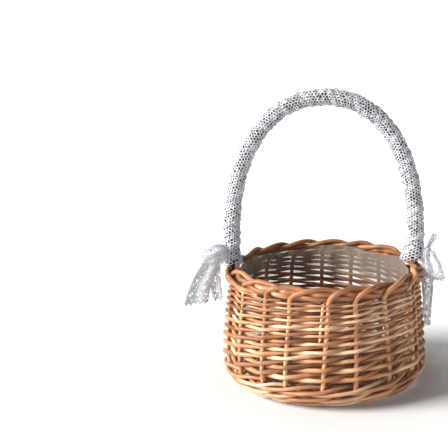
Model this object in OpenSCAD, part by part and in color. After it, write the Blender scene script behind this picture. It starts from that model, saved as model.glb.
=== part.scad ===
// Round willow flower girl basket: French-randed wall on upright stakes, waled foot, woven round base,
// rolled border, clear film liner, and a lace-wound bow handle with a lace bow at each foot.
// The origin is the centre of the foot's flat underside. X runs from one handle foot to the other,
// and Z is up. All sizes are in millimetres.

/* [Wall] */
// Radius of the stake circle at the belly, the widest height
belly_r = 96.2; // [92:0.1:100]
// Height of the belly
belly_z = 38; // [32:1:44]
// Radius of the stake circle at the rim
rim_r = 90.7; // [88:0.1:94]
// Height of the top of the weave, where the border starts
rim_z = 106; // [100:1:112]
// Radius where the stakes leave the base
heel_r = 70; // [68:1:74]
// Height of the base sticks' centre line
base_z = 7.5; // [7.5:0.1:9]

/* [Rods] */
// Diameter of a stake in the wall
stake_d = 4.3; // [4:0.1:4.6]
// Number of times each weaver passes in front of a stake
rows = 11; // [10:1:11]
// Diameter of a weaver at its butt, low in the wall
weaver_butt_d = 4.3; // [3.6:0.1:4.4]
// Diameter of a weaver at its tip, just under the border
weaver_tip_d = 2.1; // [1.8:0.1:2.2]
// Diameter of the three rods of the foot wale
wale_d = 3.6; // [3:0.1:3.8]
// Diameter of a base stick
stick_d = 5.6; // [5:0.1:5.8]
// Diameter of the two rods that fill the base
base_weaver_d = 3; // [2.6:0.1:3.2]

/* [Handle] */
// Height of the handle's centre line at its top
handle_top_z = 281.8; // [260:0.1:300]
// Diameter of the willow core of the handle
core_d = 13.6; // [12:0.1:14]
// Outer diameter of the lace wound on the core
wrap_d = 16.8; // [15:0.1:18]

/* [Lace and liner] */
// Thickness of a layer of gathered lace
lace_t = 1.6; // [1:0.1:2]
// Thickness of the liner film
film_t = 0.5; // [0.4:0.1:1]

/* [Hidden] */

// Stakes
stakes = 18;
step_a = 360 / stakes;
first_stake_a = 6;
bye_stake_index = 13;
function stake_a(k) = first_stake_a + step_a * k;
function two_digits(n) = str(n < 10 ? "0" : "", n);

// Wall: a squarish curve from the heel out to the belly, then a gentle taper up to the rim
heel_power = 2.8;
taper_power = 1.2;
heel_h = belly_z - base_z;
function wall_r(z) = z < belly_z
    ? heel_r + (belly_r - heel_r) * pow(1 - pow(min(1, (belly_z - z) / heel_h), heel_power), 1 / heel_power)
    : belly_r - (belly_r - rim_r) * pow((z - belly_z) / (rim_z - belly_z), taper_power);
// Outward normal of the wall at height z, as [r, z]
function wall_normal(z) =
    let (dz = 0.2, dr = wall_r(z + dz) - wall_r(max(base_z, z - dz)), h = z + dz - max(base_z, z - dz))
    [h, -dr] / norm([h, dr]);
// Point at angle a on the wall at height z, moved out by off and along the wall by up
function wall_point(a, z, off = 0, up = 0) =
    let (n = wall_normal(z), r = wall_r(z) + off * n[0] - up * n[1], h = z + off * n[1] + up * n[0])
    [r * cos(a), r * sin(a), h];
function polar(r, a, z) = [r * cos(a), r * sin(a), z];

// A rod: a tube swept along a path, with one radius or one [up, across] pair at each point
function unit(v) = v / norm(v);
function along(p, i) = unit(p[min(i + 1, len(p) - 1)] - p[max(i - 1, 0)]);
function square_to(n, t) = unit(n - (n * t) * t);
function frames(p, first) = [
    for (i = 0, n = square_to(first, along(p, 0)); i < len(p);
         i = i + 1, n = square_to(n, along(p, min(i, len(p) - 1)))) n
];
module rod(path, radii, sides = 5, first = [0, 0, 1]) {
    normals = frames(path, first);
    last = len(path) - 1;
    points = [
        for (i = [0:last])
            let (t = along(path, i), n = square_to(normals[i], t), b = cross(t, n),
                 r = is_list(radii[i]) ? radii[i] : [radii[i], radii[i]])
            for (j = [0:sides - 1])
                path[i] + r[0] * cos(360 * j / sides) * n + r[1] * sin(360 * j / sides) * b
    ];
    walls = [
        for (i = [0:last - 1], j = [0:sides - 1])
            let (k = (j + 1) % sides)
            [i * sides + j, (i + 1) * sides + j, (i + 1) * sides + k, i * sides + k]
    ];
    start_cap = [for (j = [0:sides - 1]) j];
    end_cap = [for (j = [sides - 1:-1:0]) last * sides + j];
    polyhedron(points, concat([start_cap], walls, [end_cap]), convexity = 12);
}
// Radii that run evenly from a to b over n points
function taper(a, b, n) = [for (i = [0:n - 1]) a + (b - a) * i / (n - 1)];

// Border: each stake bends over, passes behind the next, in front of two, and ends inside the fifth.
// Each point is [stake spacings travelled, distance out from the stake circle, height above rim_z].
border_bend = [[0, 0, 2], [0.15, 0.6, 6.5], [0.35, 0.4, 10], [0.6, -2.6, 11], [0.9, -4.5, 9.2]];
border_out = [[1.2, -4.5, 7.8], [1.5, -0.4, 6.6], [1.8, 4.3, 5]];
border_front = [[2.2, 4.7, 3.6], [2.6, 4.7, 2.2], [3, 4.6, 0.6]];
border_in = [[3.3, 4.1, -0.3], [3.6, 0, -1], [3.9, -4.4, -1.2], [4.15, -4.9, -1.2]];
// The four rods that meet a handle foot go round its tongue
foot_bend = [[0, 0, 2], [0.12, 0, 6], [0.25, -2, 9], [0.45, -4.7, 9.8], [0.9, -4.6, 9]];
foot_out = [[1.15, -4.6, 8], [1.35, 0, 6.9], [1.55, 4.5, 5.8], [1.8, 4.6, 5]];
foot_in = [[3.15, 4.3, 0], [3.35, 0, -0.8], [3.6, -4.6, -1.2], [4.15, -4.9, -1.2]];
// Where each tongue stands, as the number of the stake just before it
feet_after = [8, 17];
function meets_foot(k, back) = len([for (f = feet_after) if (k + back == f) f]) > 0;
function border(k) = concat(
    meets_foot(k, 0) ? foot_bend : border_bend,
    meets_foot(k, 1) ? foot_out : border_out,
    border_front,
    meets_foot(k, 3) ? foot_in : border_in
);
border_end_d = 3.6;
stake_in_r = 42;
stake_turn_r = 60;
stake_beside = (stick_d + stake_d) / 2 + 0.1;
stake_heights = [8, 9, 11, 14.5, 20, 28, 40, 56, 73, 90];
// Three stakes share two spokes: angle from each of the three to its own spoke, and the side it lies on
spoke_turns = [6, -14, -4];
spoke_sides = [-1, 1, 1];

module stake(k) {
    spoke_a = stake_a(k) + spoke_turns[k % 3];
    side = spoke_sides[k % 3];
    turn_a = atan2(side * stake_beside, stake_turn_r);
    foot = [
        polar(norm([stake_in_r, stake_beside]), spoke_a + atan2(side * stake_beside, stake_in_r), base_z),
        polar(norm([stake_turn_r, stake_beside]), spoke_a + turn_a, base_z),
        polar((stake_turn_r + heel_r) / 2 + 1, (spoke_a + turn_a + stake_a(k)) / 2, base_z)
    ];
    wall = [for (z = stake_heights) wall_point(stake_a(k), z)];
    top = [for (p = border(k)) polar(rim_r + p[1], stake_a(k) + step_a * p[0], rim_z + p[2])];
    path = concat(foot, wall, top);
    body = len(foot) + len(wall) + 2;
    radii = concat([for (i = [1:body]) stake_d / 2], taper(stake_d / 2, border_end_d / 2, len(path) - body));
    color("burlywood") rod(path, radii);
}

// Wall weave, a French rand: one weaver to each stake. It starts butt first behind the stake before,
// goes in front of one and behind the next, and climbs to the right until its tip tucks in at the top.
// Passes are counted along the weaver: the even ones are in front and the odd ones behind.
first_row_z = 32.9;
last_row_z = 102;
last_pass = 2 * (rows - 1);
// The weavers thin towards their tips, so that the passes close up evenly towards the top
close_up = 1.37;
function pass_z(i) = let (t = i / last_pass)
    first_row_z + (last_row_z - first_row_z) * (close_up * t - (close_up - 1) * t * t);
function weaver_d(i) = weaver_butt_d + (weaver_tip_d - weaver_butt_d) * (i + 1) / (last_pass + 1);
function throw(i) = (stake_d + weaver_d(i)) / 2 + 0.1;
// Part of a stake spacing for which a rod lies flat against a stake, either side of it
hold = 0.1;
butt_length = 0.2;
tip_length = 0.6;
module weaver(k) {
    places = concat(
        [[-1 - butt_length, -throw(-1)]],
        [for (i = [-1:last_pass], side = [-hold, hold]) [i + side, (i % 2 == 0 ? 1 : -1) * throw(i)]],
        [[last_pass + tip_length, -1]]
    );
    path = [for (p = places) wall_point(stake_a(k + p[0]), pass_z(p[0]), p[1])];
    color("tan") rod(path, [for (p = places) weaver_d(p[0]) / 2]);
}

// Foot wale: three rods, each in front of two stakes and behind one, three times round.
// Each point is [distance out from the stake, distance up the wall] at half-stake steps.
wale_wave = [[-4.2, 0], [0, -2.8], [4.4, -1.7], [5.4, 0], [4.6, 1.7], [0, 2.8]];
wale_turns = 3;
wale_first_z = 8.6;
wale_last_z = 23.6;
// The climb is slower at the bottom, where the wall lies flatter
wale_power = 1.45;
module wale_rod(k) {
    count = wale_turns * stakes * 2;
    path = [
        for (i = [0:count])
            let (p = wale_wave[i % len(wale_wave)],
                 z = wale_first_z + (wale_last_z - wale_first_z) * pow(i / count, wale_power))
            wall_point(stake_a(k + i / 2), z, p[0], p[1])
    ];
    color("peru") rod(path, taper(wale_d / 2 + 0.1, wale_d / 2 - 0.1, len(path)));
}

// Base: three slit sticks with three sticks passed through them, opened out into twelve spokes
spokes = 12;
spoke_step_a = 360 / spokes;
slath_a = stake_a(0) + spoke_turns[0];
slath_pitch = stick_d + 0.3;
slath_half = 10.5;
spread_r = 26;
stick_end_r = 70.5;
pared_h = 3.2;
slit_open_h = 8.8;
function stick_path(offset, a) = [
    polar(stick_end_r, 180 - a, 0), polar(spread_r, 180 - a, 0), [-slath_half, offset, 0], [0, offset, 0],
    [slath_half, offset, 0], polar(spread_r, a, 0), polar(stick_end_r, a, 0)
];
function round_ends(middle) = let (r = stick_d / 2, end = [for (i = [1:3]) [r, r]]) concat(end, middle, end);
function stick_radii() = round_ends([[slit_open_h / 2, stick_d / 2]]);
module pierced_base_sticks() {
    color("sandybrown")
        translate([0, 0, base_z]) rotate([0, 0, slath_a])
            for (i = [-1:1])
                difference() {
                    rod(stick_path(i * slath_pitch, i * spoke_step_a), stick_radii(), sides = 8);
                    cube([3 * slath_pitch + 0.4, 4 * slath_pitch, pared_h + 0.2], center = true);
                }
}
module through_base_sticks() {
    color("sandybrown")
        translate([0, 0, base_z]) rotate([0, 0, slath_a + 90])
            for (i = [-1:1])
                rod(through_path(i * slath_pitch, i * spoke_step_a), through_radii(), sides = 8);
}
// The pared stretch of a through stick, inside the slits
pared_half = 1.5 * slath_pitch + 0.3;
function through_path(offset, a) = [
    polar(stick_end_r, 180 - a, 0), polar(spread_r, 180 - a, 0), [-pared_half - 2, offset, 0],
    [-pared_half, offset, 0], [pared_half, offset, 0],
    [pared_half + 2, offset, 0], polar(spread_r, a, 0), polar(stick_end_r, a, 0)
];
function through_radii() = let (pared = [pared_h / 2, stick_d / 2]) round_ends([pared, pared]);

// Base weave: two rods that chase each other outwards, over and under the spokes
base_hold = 0.25;
base_weave_first_r = 17;
base_weave_pitch = 4.3;
base_weave_turns = 5.5;
module base_weaver(k) {
    throw = (stick_d + base_weaver_d) / 2 + 0.15;
    count = base_weave_turns * spokes * 2;
    path = [
        for (i = [0:count])
            let (spoke = floor((i + 1) / 2), side = i % 2 == 0 ? base_hold : -base_hold,
                 r = base_weave_first_r + base_weave_pitch * (k + i / spokes),
                 over = (spoke + k) % 2 == 0 ? 1 : -1)
            polar(r, slath_a + spoke_step_a * (spoke + side), base_z + over * throw)
    ];
    color("wheat") rod(path, taper(base_weaver_d / 2, base_weaver_d / 2, len(path)));
}

// Foot rod: the lowest round of the upsett, a ring pared flat where it rests
foot_rod_r = 73.6;
foot_rod_d = 4.8;
foot_rod_z = 2.25;
module foot_rod() {
    color("peru")
        difference() {
            rotate_extrude($fn = 96) translate([foot_rod_r, foot_rod_z]) circle(d = foot_rod_d, $fn = 32);
            translate([0, 0, -foot_rod_d]) cylinder(r = foot_rod_r + foot_rod_d, h = foot_rod_d, $fn = 96);
        }
}

// Bye stake: a thin extra rod pushed down beside one stake
bye_stake_d = 3;
bye_stake_a = -3.6;
module bye_stake() {
    heights = [68, 80, 92, 103.4];
    color("burlywood")
        rod([for (z = heights) wall_point(stake_a(bye_stake_index) + bye_stake_a, z)],
            taper(bye_stake_d / 2 - 0.3, bye_stake_d / 2, len(heights)), sides = 6, first = [1, 0, 0]);
}

// Liner: a film cup that follows the inside of the weave and tucks in under the border
liner_gap = 7;
liner_top_r = 83.2;
liner_top_z = 113;
liner_heights = [8, 9.5, 12, 16, 24, 38, 56, 76, 94];
function liner_side(inset) = [
    for (z = liner_heights)
        let (n = wall_normal(z), off = liner_gap + inset) [wall_r(z) - off * n[0], z - off * n[1]]
];
function liner_neck(inset) = [for (z = [rim_z - 2, liner_top_z]) [liner_top_r - inset, z]];
module film_liner() {
    outside = concat(liner_side(0), liner_neck(0));
    inside = concat(liner_side(film_t), liner_neck(film_t));
    floor_z = outside[0][1];
    color("aliceblue", 0.4)
        rotate_extrude($fn = 96)
            polygon(concat([[0, floor_z]], outside, [for (i = [len(inside) - 1:-1:0]) inside[i]],
                [[0, floor_z + film_t]]));
}

// Handle: a bent rod, straight at the legs and a squarish arch above, pared to tongues that go
// down into the weave at each foot
handle_foot_z = 120.2;
arch_z = 145;
arch_power = 2.2;
arch_r = 90.2;
arch_steps = 28;
function arch_at(f) = [
    arch_r * sign(cos(f)) * pow(abs(cos(f)), 2 / arch_power), 0,
    arch_z + (handle_top_z - arch_z) * pow(abs(sin(f)), 2 / arch_power)
];
// Even steps of this angle crowd the arch's points at its ends, so the ends are left out
function arch() = [for (i = [1:arch_steps - 1]) arch_at(180 * i / arch_steps)];
tongue_d = 4;
tongue_tip_d = 2.6;
tongue_heights = [56, 68, 82, 96, 106, 114];
tongue_shoulder_z = 118.4;
function mirrored(p) = [for (i = [len(p) - 1:-1:0]) [-p[i][0], p[i][1], p[i][2]]];
module handle_core() {
    foot = concat([for (z = tongue_heights) wall_point(0, min(z, rim_z)) + [0, 0, max(0, z - rim_z)]],
        [[rim_r, 0, tongue_shoulder_z], [rim_r, 0, handle_foot_z], [arch_r + 0.2, 0, 132]]);
    arch = arch();
    path = concat(foot, arch, mirrored(foot));
    foot_radii = concat(taper(tongue_tip_d / 2, tongue_d / 2, len(tongue_heights)),
        [tongue_d / 2, core_d / 2, core_d / 2]);
    far_radii = [for (i = [len(foot_radii) - 1:-1:0]) foot_radii[i]];
    radii = concat(foot_radii, [for (p = arch) core_d / 2], far_radii);
    color("saddlebrown") rod(path, radii, sides = 8, first = [0, 1, 0]);
}

// Lace wound on the handle: a sleeve round the core, open at both ends
module lace_wrap() {
    foot = [[rim_r, 0, handle_foot_z - 0.6], [arch_r + 0.3, 0, 132]];
    path = concat(foot, arch(), mirrored(foot));
    sides = 10;
    inner = core_d / 2 + 0.1;
    last = len(path) - 1;
    normals = frames(path, [0, 1, 0]);
    function ring(i, r) = let (t = along(path, i), n = square_to(normals[i], t), b = cross(t, n))
        [for (j = [0:sides - 1]) path[i] + r * (cos(360 * j / sides) * n + sin(360 * j / sides) * b)];
    points = concat([for (i = [0:last]) each ring(i, wrap_d / 2)], [for (i = [0:last]) each ring(i, inner)]);
    shift = (last + 1) * sides;
    outer_faces = [
        for (i = [0:last - 1], j = [0:sides - 1]) let (k = (j + 1) % sides)
            [i * sides + j, (i + 1) * sides + j, (i + 1) * sides + k, i * sides + k]
    ];
    inner_faces = [for (f = outer_faces) [f[3] + shift, f[2] + shift, f[1] + shift, f[0] + shift]];
    ends = [
        for (j = [0:sides - 1]) let (k = (j + 1) % sides) each [
            [j, k, k + shift, j + shift],
            [last * sides + k, last * sides + j, last * sides + j + shift, last * sides + k + shift]
        ]
    ];
    color("snow") polyhedron(points, concat(outer_faces, inner_faces, ends), convexity = 12);
}

// Gathered lace: a slab that fans out from a narrow gathered end, with folds along its length.
// rows is a list of [centre point, half width, fold depth]; across is the direction of its width.
module gathered_sheet(rows, across, fold, folds = 2, columns = 8) {
    last = len(rows) - 1;
    function sheet_point(i, j, side) =
        let (u = 2 * j / columns - 1, row = rows[i])
        row[0] + across * (row[1] * u) + fold * (row[2] * cos(180 * folds * u) + side * lace_t / 2);
    points = concat(
        [for (i = [0:last], j = [0:columns]) sheet_point(i, j, 1)],
        [for (i = [0:last], j = [0:columns]) sheet_point(i, j, -1)]
    );
    w = columns + 1;
    shift = (last + 1) * w;
    face = [
        for (i = [0:last - 1], j = [0:columns - 1])
            let (a = i * w + j, b = (i + 1) * w + j) [a, b, b + 1, a + 1]
    ];
    back = [for (f = face) [f[3] + shift, f[2] + shift, f[1] + shift, f[0] + shift]];
    edges = concat(
        [for (i = [0:last - 1]) each [
            [(i + 1) * w, i * w, i * w + shift, (i + 1) * w + shift],
            [i * w + columns, (i + 1) * w + columns, (i + 1) * w + columns + shift, i * w + columns + shift]
        ]],
        [for (j = [0:columns - 1]) each [
            [j, j + 1, j + 1 + shift, j + shift],
            [last * w + j + 1, last * w + j, last * w + j + shift, last * w + j + 1 + shift]
        ]]
    );
    polyhedron(points, concat(face, back, edges), convexity = 8);
}

// Left bow: a full knot outside the foot, a wide front tail that flies out and down, a short back tail
left_knot_at = [-105, -8.5, 132];
left_knot_r = 8;
module left_knot() {
    color("snow") translate(left_knot_at) sphere(r = left_knot_r, $fn = 32);
}
module left_front_tail() {
    rows = [
        [[-111, -16, 126.5], 7.5, 1], [[-118, -19, 112], 11, 2],
        [[-124, -21, 98], 12.5, 2.5], [[-127, -22, 81], 13, 2.5]
    ];
    color("snow") gathered_sheet(rows, unit([0.95, -0.3, 0]), unit([-0.3, -0.95, 0]));
}
module left_back_tail() {
    rows = [[[-103, -18.5, 124], 3.5, 0.8], [[-105, -23, 108], 5.5, 1.5], [[-106, -25, 89], 6.5, 2]];
    color("snow") gathered_sheet(rows, unit([0.85, -0.5, 0]), unit([-0.5, -0.85, 0]), folds = 1);
}
// Right bow: a knot outside the foot, a loop that stands up, a short tail that fans out and a long one
right_knot_at = [103.8, -5, 128];
right_knot_r = 5.5;
module right_knot() {
    color("snow") translate(right_knot_at) sphere(r = right_knot_r, $fn = 32);
}
module right_loop() {
    rows = [[[104, -6, 134.5], 2.5, 0.5], [[106, -6, 140], 4, 0.8], [[108.5, -6, 145.5], 4, 0.8]];
    color("snow") gathered_sheet(rows, unit([0.8, 0, -0.6]), unit([0, -1, 0]), folds = 1);
}
module right_short_tail() {
    rows = [[[105.5, -11.5, 123], 3.5, 0.8], [[108.5, -13, 113], 7, 1.5], [[110.5, -13.5, 101.5], 8, 1.5]];
    color("snow") gathered_sheet(rows, unit([0.95, -0.3, 0]), unit([-0.3, -0.95, 0]));
}
module right_long_tail() {
    rows = [
        [[103, -4, 121.5], 3.5, 0.8], [[103.5, -6, 100], 4, 1],
        [[104, -8, 82], 4, 1], [[105, -12, 64], 5.5, 1.5]
    ];
    color("snow") gathered_sheet(rows, unit([0.8, -0.6, 0]), unit([-0.6, -0.8, 0]), folds = 1);
}

for (k = [1:stakes])
    stake(k - 1);
for (k = [1:stakes])
    weaver(k - 1);
for (k = [1:3])
    wale_rod(k);
pierced_base_sticks();
through_base_sticks();
for (k = [1:2])
    base_weaver(k - 1);
foot_rod();
bye_stake();
film_liner();
handle_core();
lace_wrap();
left_knot();
left_front_tail();
left_back_tail();
right_knot();
right_loop();
right_short_tail();
right_long_tail();
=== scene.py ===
"""Willow flower girl basket: woven rods, a lace-wound handle with two lace bows, and a film liner.

The rods follow the CAD model's paths at a finer resolution and with the unevenness of hand work. Two
things differ from it: the lying rods of the border pass behind the stakes that come up, and the stakes
stand a little unevenly. Lengths are in millimetres until a mesh is made.
"""
import math
import bpy
import numpy as np
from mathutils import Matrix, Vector


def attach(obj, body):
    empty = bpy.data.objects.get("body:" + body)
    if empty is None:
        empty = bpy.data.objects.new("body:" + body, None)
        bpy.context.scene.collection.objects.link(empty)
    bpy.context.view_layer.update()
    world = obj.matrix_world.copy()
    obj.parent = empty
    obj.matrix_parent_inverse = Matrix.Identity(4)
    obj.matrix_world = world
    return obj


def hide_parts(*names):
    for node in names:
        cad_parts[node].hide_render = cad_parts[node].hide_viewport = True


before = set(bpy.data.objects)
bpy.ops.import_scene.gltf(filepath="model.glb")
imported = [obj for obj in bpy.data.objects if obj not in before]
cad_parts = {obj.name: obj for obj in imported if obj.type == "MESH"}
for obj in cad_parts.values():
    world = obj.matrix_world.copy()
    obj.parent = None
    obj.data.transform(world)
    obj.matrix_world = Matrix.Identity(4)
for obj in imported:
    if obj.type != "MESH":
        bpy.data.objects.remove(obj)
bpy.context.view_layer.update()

MM = 0.001
BODY = "root"

# ---------------------------------------------------------------- driving sizes, as in the CAD model
BELLY_R, BELLY_Z = 96.2, 38.0
RIM_R, RIM_Z = 90.7, 106.0
HEEL_R, BASE_Z = 70.0, 7.5
HEEL_POWER, TAPER_POWER = 2.8, 1.2
STAKES = 18
STEP_A = 360 / STAKES
FIRST_STAKE_A = 6.0
STAKE_D = 4.3
WEAVER_BUTT_D, WEAVER_TIP_D = 4.3, 2.1
WALE_D = 3.6
STICK_D = 5.6
SPOKES = 12
SPOKE_STEP_A = 360 / SPOKES
SLATH_A = 12.0
BASE_WEAVER_D = 3.0
ROD_SIDES = 10
UPWARD = np.array([0.0, 0.0, 1.0])


def wall_r(z):
    """Radius of the stake circle at height z."""
    z = np.asarray(z, float)
    low = np.clip((BELLY_Z - z) / (BELLY_Z - BASE_Z), 0, 1)
    heel = HEEL_R + (BELLY_R - HEEL_R) * (1 - low**HEEL_POWER) ** (1 / HEEL_POWER)
    high = np.clip((z - BELLY_Z) / (RIM_Z - BELLY_Z), 0, None)
    return np.where(z < BELLY_Z, heel, BELLY_R - (BELLY_R - RIM_R) * high**TAPER_POWER)


def wall_normal(z):
    """Outward normal of the wall at height z: its radial part and its upward part."""
    z = np.asarray(z, float)
    below = np.maximum(BASE_Z, z - 0.2)
    rise = z + 0.2 - below
    spread = wall_r(z + 0.2) - wall_r(below)
    size = np.hypot(rise, spread)
    return rise / size, -spread / size


def polar(r, a, z):
    a = np.radians(a)
    return np.stack(np.broadcast_arrays(r * np.cos(a), r * np.sin(a), z), -1)


def wall_point(a, z, off=0.0, up=0.0):
    """Point at angle a on the wall at height z, moved out by off and along the wall by up."""
    out, rise = wall_normal(z)
    return polar(wall_r(z) + off * out - up * rise, a, z + off * rise + up * out)


# ---------------------------------------------------------------- hand work
def hash_wave(seed, count=4, lowest=0.6, highest=3.0):
    """A smooth random function of a number, between about -1 and 1."""
    rng = np.random.default_rng(seed)
    rates = rng.uniform(lowest, highest, count)
    phases = rng.uniform(0, 2 * math.pi, count)
    sizes = rng.uniform(0.5, 1, count)

    def wave(t):
        t = np.asarray(t, float)
        return sum(s * np.sin(2 * math.pi * r * t + p) for s, r, p in zip(sizes, rates, phases)) / sizes.sum()

    return wave


# How far each stake stands from its even place halfway up, in degrees, and how much further at the top:
# the nine stakes of the back and then the nine of the front, both in the order of their angles
BACK_SHIFT = [0, 0.8, -0.9, 0.6, -0.5, 1, -0.8, 0.5, 0]
FRONT_SHIFT = [0, 4, 3.3, -1.4, 0.2, -2.2, -1.4, 1.8, 0]
BACK_LEAN = [0, 0.5, 0.8, -0.6, 0.4, -0.9, 0.6, 0.2, 0]
FRONT_LEAN = [0, 0.3, 1, 1.6, 2.2, 0.5, -1.3, 0.3, 0]
STAKE_SHIFT, STAKE_LEAN = np.array(BACK_SHIFT + FRONT_SHIFT), np.array(BACK_LEAN + FRONT_LEAN)
LEAN_Z = 50.0
BACK_LIFT, SIDE_SWAY, RIM_WARP = 4.2, 2.0, 0.9


def stake_a(s, z=LEAN_Z):
    """Angle of stake s, or of a place between stakes when s isn't whole, at height z."""
    s = np.asarray(s, float)
    low = np.floor(s).astype(int)
    part = s - low
    lean = (np.asarray(z, float) - LEAN_Z) / LEAN_Z
    here = STAKE_SHIFT[low % STAKES] + lean * STAKE_LEAN[low % STAKES]
    there = STAKE_SHIFT[(low + 1) % STAKES] + lean * STAKE_LEAN[(low + 1) % STAKES]
    return FIRST_STAKE_A + STEP_A * s + here * (1 - part) + there * part


def by_hand(points):
    """The basket's own lopsidedness, which carries its rods and its liner. The back rim is the highest."""
    p = np.array(points, float)
    a = np.arctan2(p[:, 1], p[:, 0])
    high = np.clip(p[:, 2] / RIM_Z, 0, 1.2)
    grow = 1 + 0.004 * np.sin(2 * a + 0.6) * high + 0.003 * np.sin(3 * a + 2)
    p[:, 0] = p[:, 0] * grow - SIDE_SWAY * (1 - high) * high * 2
    p[:, 1] *= grow
    p[:, 2] += RIM_WARP * np.sin(2 * a + 1.1) * high + BACK_LIFT * np.clip(p[:, 1] / RIM_R, 0, 1) * high**2
    return p


# ---------------------------------------------------------------- meshes
class Solid:
    """Vertices and faces of a piece, with the two attributes that the materials read.

    grain is a place along and round a rod, in millimetres, and finish is [tone, knot, cut end].
    """

    def __init__(self):
        self.points, self.faces, self.grain, self.finish, self.rim = [], [], [], [], []
        self.count = 0

    def add(self, points, faces, grain, finish, rim=None):
        self.points.append(points)
        self.faces.extend(tuple(i + self.count for i in f) for f in faces)
        self.grain.append(grain)
        self.finish.append(finish)
        self.rim.append(np.zeros(len(points), int) if rim is None else np.where(rim > 0, rim + self.count, 0))
        self.count += len(points)

    def build(self, name, material, slot, *stands_for):
        mesh = bpy.data.meshes.new(name)
        mesh.from_pydata((np.concatenate(self.points) * MM).tolist(), [], self.faces)
        mesh.polygons.foreach_set("use_smooth", np.ones(len(mesh.polygons), bool))
        rim = np.concatenate(self.rim)
        ends = np.zeros(len(mesh.edges) * 2, np.int32)
        mesh.edges.foreach_get("vertices", ends)
        first, second = rim[ends[0::2]], rim[ends[1::2]]
        sharp = mesh.attributes.new("sharp_edge", "BOOLEAN", "EDGE")
        sharp.data.foreach_set("value", (first > 0) & (first == second))
        grain = mesh.attributes.new("grain", "FLOAT_VECTOR", "POINT")
        grain.data.foreach_set("vector", np.concatenate(self.grain).astype(np.float32).ravel())
        finish = mesh.attributes.new("finish", "FLOAT_VECTOR", "POINT")
        finish.data.foreach_set("vector", np.concatenate(self.finish).astype(np.float32).ravel())
        mesh.materials.append(material)
        piece = bpy.data.objects.new(name, mesh)
        bpy.context.scene.collection.objects.link(piece)
        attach(piece, BODY)
        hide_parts(*stands_for)
        return piece


def unit(v):
    return v / np.maximum(np.linalg.norm(v, axis=-1, keepdims=True), 1e-9)


def smooth_path(points, spacing):
    """A smooth curve through the points, with a point every spacing millimetres."""
    p = np.asarray(points, float)
    chord = np.linalg.norm(np.diff(p, axis=0), axis=1)
    slope = np.diff(p, axis=0) / chord[:, None]
    a, b = chord[:-1, None], chord[1:, None]
    turn = (slope[:-1] * b + slope[1:] * a) / (a + b)
    turn = np.vstack([slope[:1], turn, slope[-1:]])
    t = np.linspace(0, 1, 12, endpoint=False)[:, None]
    pieces = []
    for i, h in enumerate(chord):
        pieces.append(
            (2 * t**3 - 3 * t**2 + 1) * p[i] + (t**3 - 2 * t**2 + t) * h * turn[i]
            + (3 * t**2 - 2 * t**3) * p[i + 1] + (t**3 - t**2) * h * turn[i + 1]
        )
    return evenly(np.vstack(pieces + [p[-1:]]), spacing)


def evenly(path, spacing):
    s = np.concatenate([[0], np.cumsum(np.linalg.norm(np.diff(path, axis=0), axis=1))])
    at = np.linspace(0, s[-1], max(3, int(round(s[-1] / spacing))) + 1)
    return np.stack([np.interp(at, s, path[:, k]) for k in range(3)], 1)


def frames(path, up=None):
    """Tangents and two normals along a path. up fixes the first normal; without it the frame is carried."""
    tangent = unit(np.gradient(path, axis=0))
    if up is None:
        normal = np.zeros_like(path)
        n = np.array([0.0, 0.0, 1.0]) if abs(tangent[0][2]) < 0.9 else np.array([1.0, 0.0, 0.0])
        for i, t in enumerate(tangent):
            n = n - (n @ t) * t
            n /= np.linalg.norm(n)
            normal[i] = n
    else:
        up = np.broadcast_to(up, path.shape)
        normal = unit(up - (up * tangent).sum(1, keepdims=True) * tangent)
    return tangent, normal, np.cross(tangent, normal)


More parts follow.
